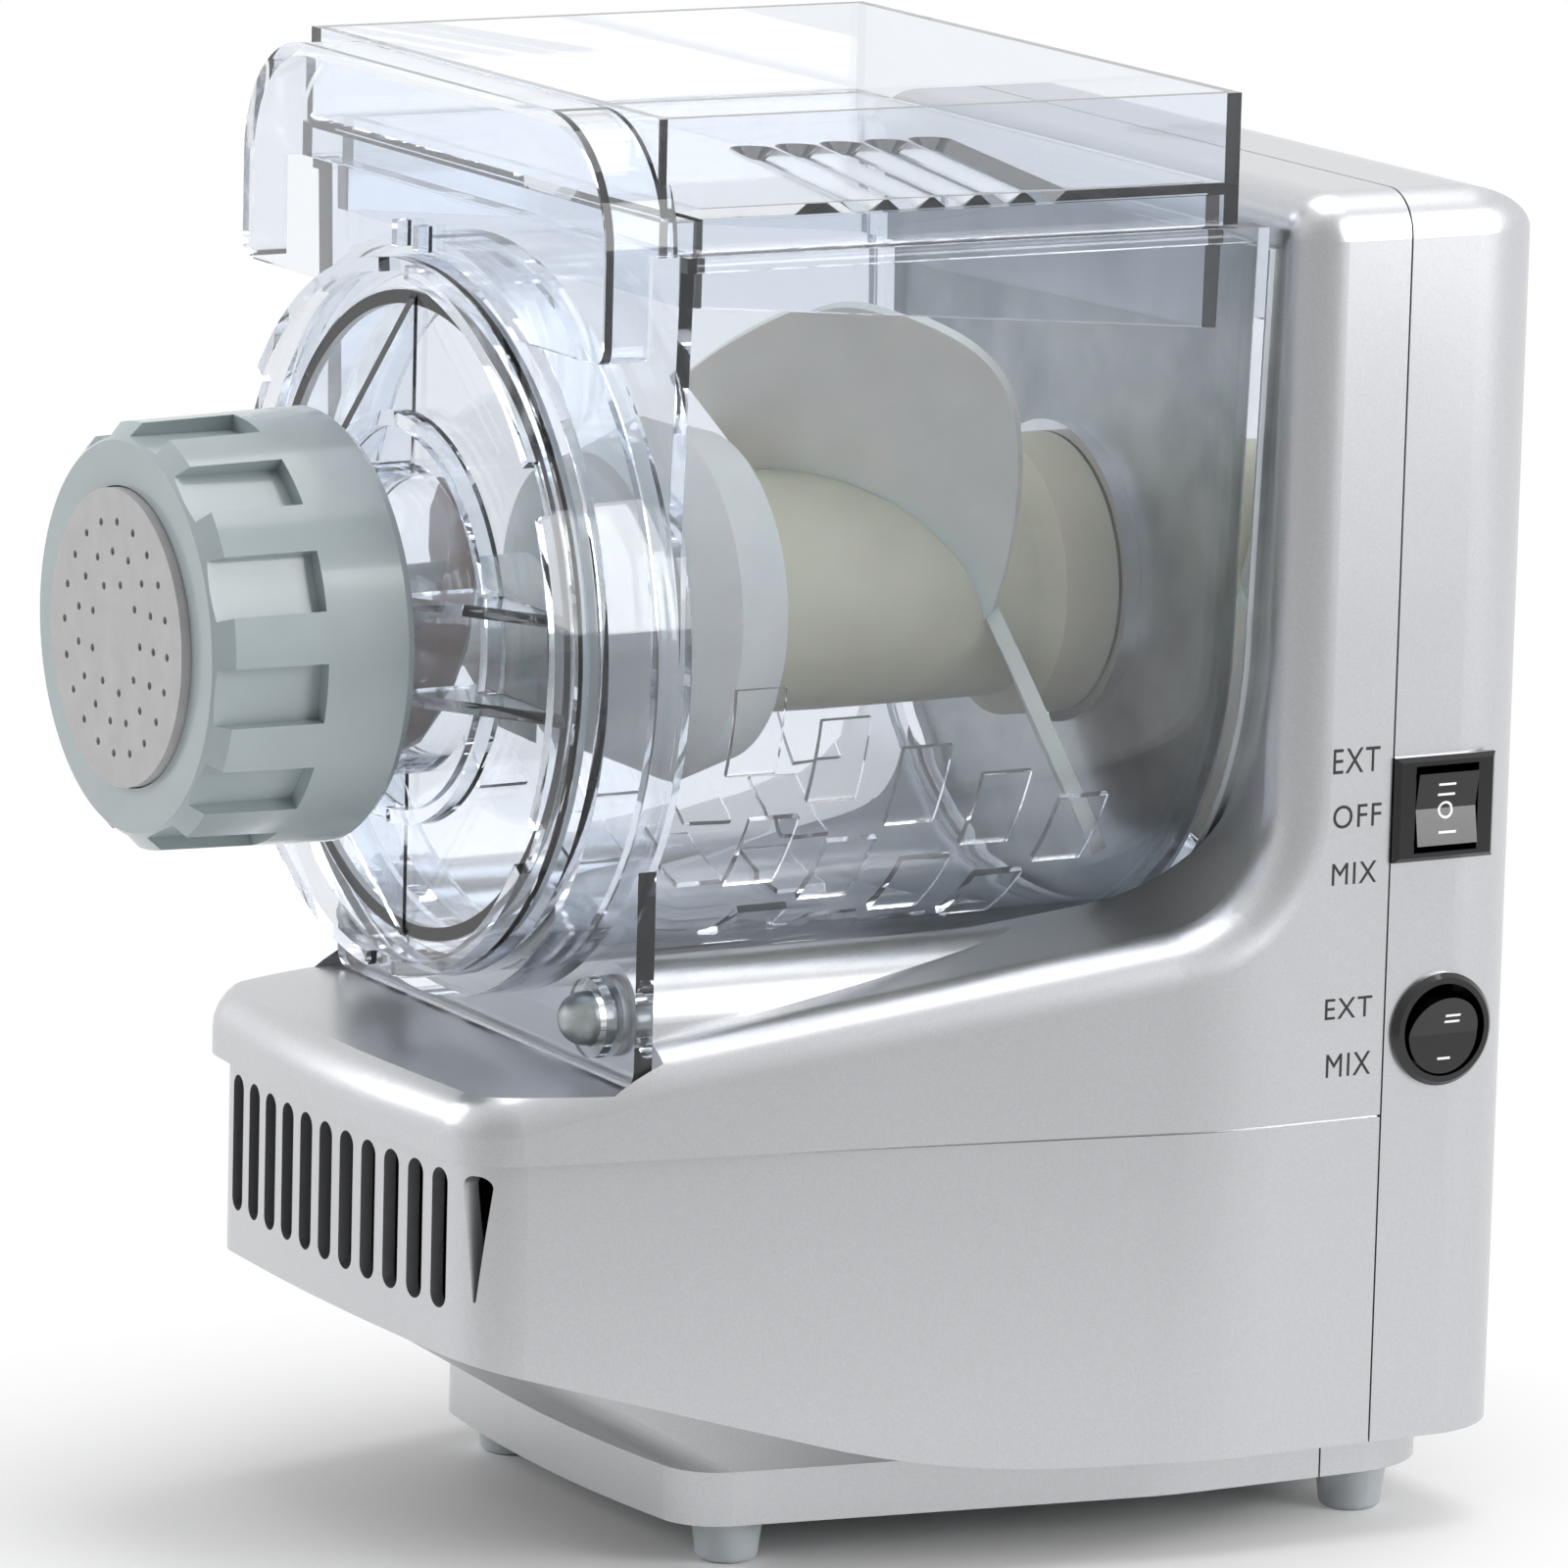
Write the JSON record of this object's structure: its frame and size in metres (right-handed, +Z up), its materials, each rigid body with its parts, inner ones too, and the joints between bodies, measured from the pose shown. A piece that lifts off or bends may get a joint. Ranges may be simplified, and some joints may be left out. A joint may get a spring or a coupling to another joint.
{
  "type": "electric pasta maker",
  "caption": "Electric pasta maker: clear mixing chamber with lid, paddle and screw, die nose with hand nut, silver housing with geared motor and rocker switches.",
  "frame": {"origin": "on the table under the middle of the machine's length, width and footprint box", "axes": "+Z up, -Y towards the die at the front, +X to the machine's right side with the switches (seen from behind)"},
  "size_m": [0.1796, 0.2775, 0.2928],
  "materials": {
    "silver_housing": "satin silver metallic paint",
    "base_plastic": "fine texture",
    "foot_rubber": "soft, pale, slightly translucent",
    "screw_steel": "zinc plated",
    "satin_steel": "satin, blasted",
    "polished_steel": "polished",
    "silicone_seal": "pale, translucent",
    "clear_plastic": "clear, glossy, bluish at the edges",
    "nut_plastic": "glossy pale grey green",
    "die_plastic": "matte warm grey",
    "hub_plastic": "satin cream",
    "paddle_plastic": "satin milky",
    "screw_plastic": "satin milky",
    "bush_bronze": "sintered",
    "gear_plastic": "natural moulded",
    "pinion_steel": "machined",
    "plate_steel": "zinc plated",
    "core_steel": "laminated, dark",
    "copper_winding": "enamelled copper",
    "carbon": "pressed carbon",
    "black_plastic": "fine texture",
    "switch_black": "glossy"
  },
  "bodies": {
    "base": {"front_housing": "silver_housing", "rear_cover": "silver_housing", "base_plate": "base_plastic", "feet": "foot_rubber", "foot_screws": "screw_steel", "locating_pins": "satin_steel", "back_plate": "satin_steel", "chamber_seal": "silicone_seal", "hub_ring": "polished_steel", "shaft_seal": "silicone_seal", "shaft_bushes": "bush_bronze", "front_gear_plate": "plate_steel", "rear_gear_plate": "plate_steel", "gear_pillars": "polished_steel", "gear_axles": "polished_steel", "gearbox_screws": "screw_steel", "stator_core": "core_steel", "field_windings": "copper_winding", "carbon_brushes": "carbon", "brush_holders": "black_plastic", "front_motor_bracket": "plate_steel", "rear_motor_bracket": "plate_steel", "motor_bearings": "bush_bronze", "motor_ties": "screw_steel", "motor_saddles": "black_plastic", "terminal_block": "black_plastic", "capacitor": "black_plastic", "cord_gland": "black_plastic", "switch_frame": "switch_black", "round_switch_frame": "switch_black"},
    "agitator": {"paddle_hub": "hub_plastic", "mixing_blades": "paddle_plastic", "extrusion_screw": "screw_plastic", "drive_shaft": "polished_steel", "output_gear": "gear_plastic"},
    "second_gear": {"second_gear": "gear_plastic"},
    "first_gear": {"first_gear": "gear_plastic"},
    "rotor": {"motor_shaft": "polished_steel", "motor_pinion": "pinion_steel", "armature_core": "core_steel", "armature_windings": "copper_winding", "commutator": "copper_winding", "cooling_fan": "black_plastic"},
    "chamber": {"mixing_chamber": "clear_plastic"},
    "lid": {"lid": "clear_plastic"},
    "cover_seal": {"cover_seal": "silicone_seal"},
    "front_cover": {"front_cover": "clear_plastic"},
    "die": {"die_disc": "die_plastic"},
    "nut": {"die_nut": "nut_plastic"},
    "selector": {"switch_rocker": "switch_black"},
    "power_rocker": {"round_switch_rocker": "switch_black"}
  },
  "joints": [
    {"name": "agitator_spin", "type": "hinge", "parent": "base", "child": "agitator", "pos_m": [0, 0.032, 0.1855], "axis": [0, -1, 0], "continuous": true},
    {"name": "second_gear_spin", "type": "hinge", "parent": "base", "child": "second_gear", "pos_m": [0.012, 0.102, 0.1308], "axis": [0, -1, 0], "continuous": true},
    {"name": "first_gear_spin", "type": "hinge", "parent": "base", "child": "first_gear", "pos_m": [-0.008, 0.112, 0.09049], "axis": [0, -1, 0], "continuous": true},
    {"name": "motor_spin", "type": "hinge", "parent": "base", "child": "rotor", "pos_m": [0, 0.012, 0.0513], "axis": [0, -1, 0], "continuous": true},
    {"name": "chamber_slide", "type": "slide", "parent": "base", "child": "chamber", "axis": [0, -1, 0], "range_m": [0, 0.2]},
    {"name": "lid_lift", "type": "slide", "parent": "chamber", "child": "lid", "axis": [0, 0, 1], "range_m": [0, 0.095]},
    {"name": "cover_pull", "type": "slide", "parent": "chamber", "child": "cover_seal", "axis": [0, -1, 0], "range_m": [0, 0.1]},
    {"name": "cover_turn", "type": "hinge", "parent": "cover_seal", "child": "front_cover", "pos_m": [0, -0.068, 0.1855], "axis": [0, -1, 0], "range_deg": [0, 30]},
    {"name": "die_travel", "type": "slide", "parent": "front_cover", "child": "die", "axis": [0, -1, 0], "range_m": [0, 0.009]},
    {"name": "nut_turn", "type": "hinge", "parent": "die", "child": "nut", "pos_m": [0, -0.118, 0.1855], "axis": [0, -1, 0], "range_deg": [0, 1080]},
    {"name": "selector_rock", "type": "hinge", "parent": "base", "child": "selector", "pos_m": [0.083, 0.1122, 0.1498], "axis": [0, 1, 0], "range_deg": [-11, 11]},
    {"name": "power_rock", "type": "hinge", "parent": "base", "child": "power_rocker", "pos_m": [0.083, 0.1137, 0.1045], "axis": [0, 1, 0], "range_deg": [-16, 0]}
  ],
  "couplings": [
    {"joint": "second_gear_spin", "follows": "agitator_spin", "ratio": -3.5714},
    {"joint": "first_gear_spin", "follows": "agitator_spin", "ratio": 14.796},
    {"joint": "motor_spin", "follows": "agitator_spin", "ratio": -69.752},
    {"joint": "nut_turn", "follows": "die_travel", "rad_per_m": 2094.4}
  ]
}
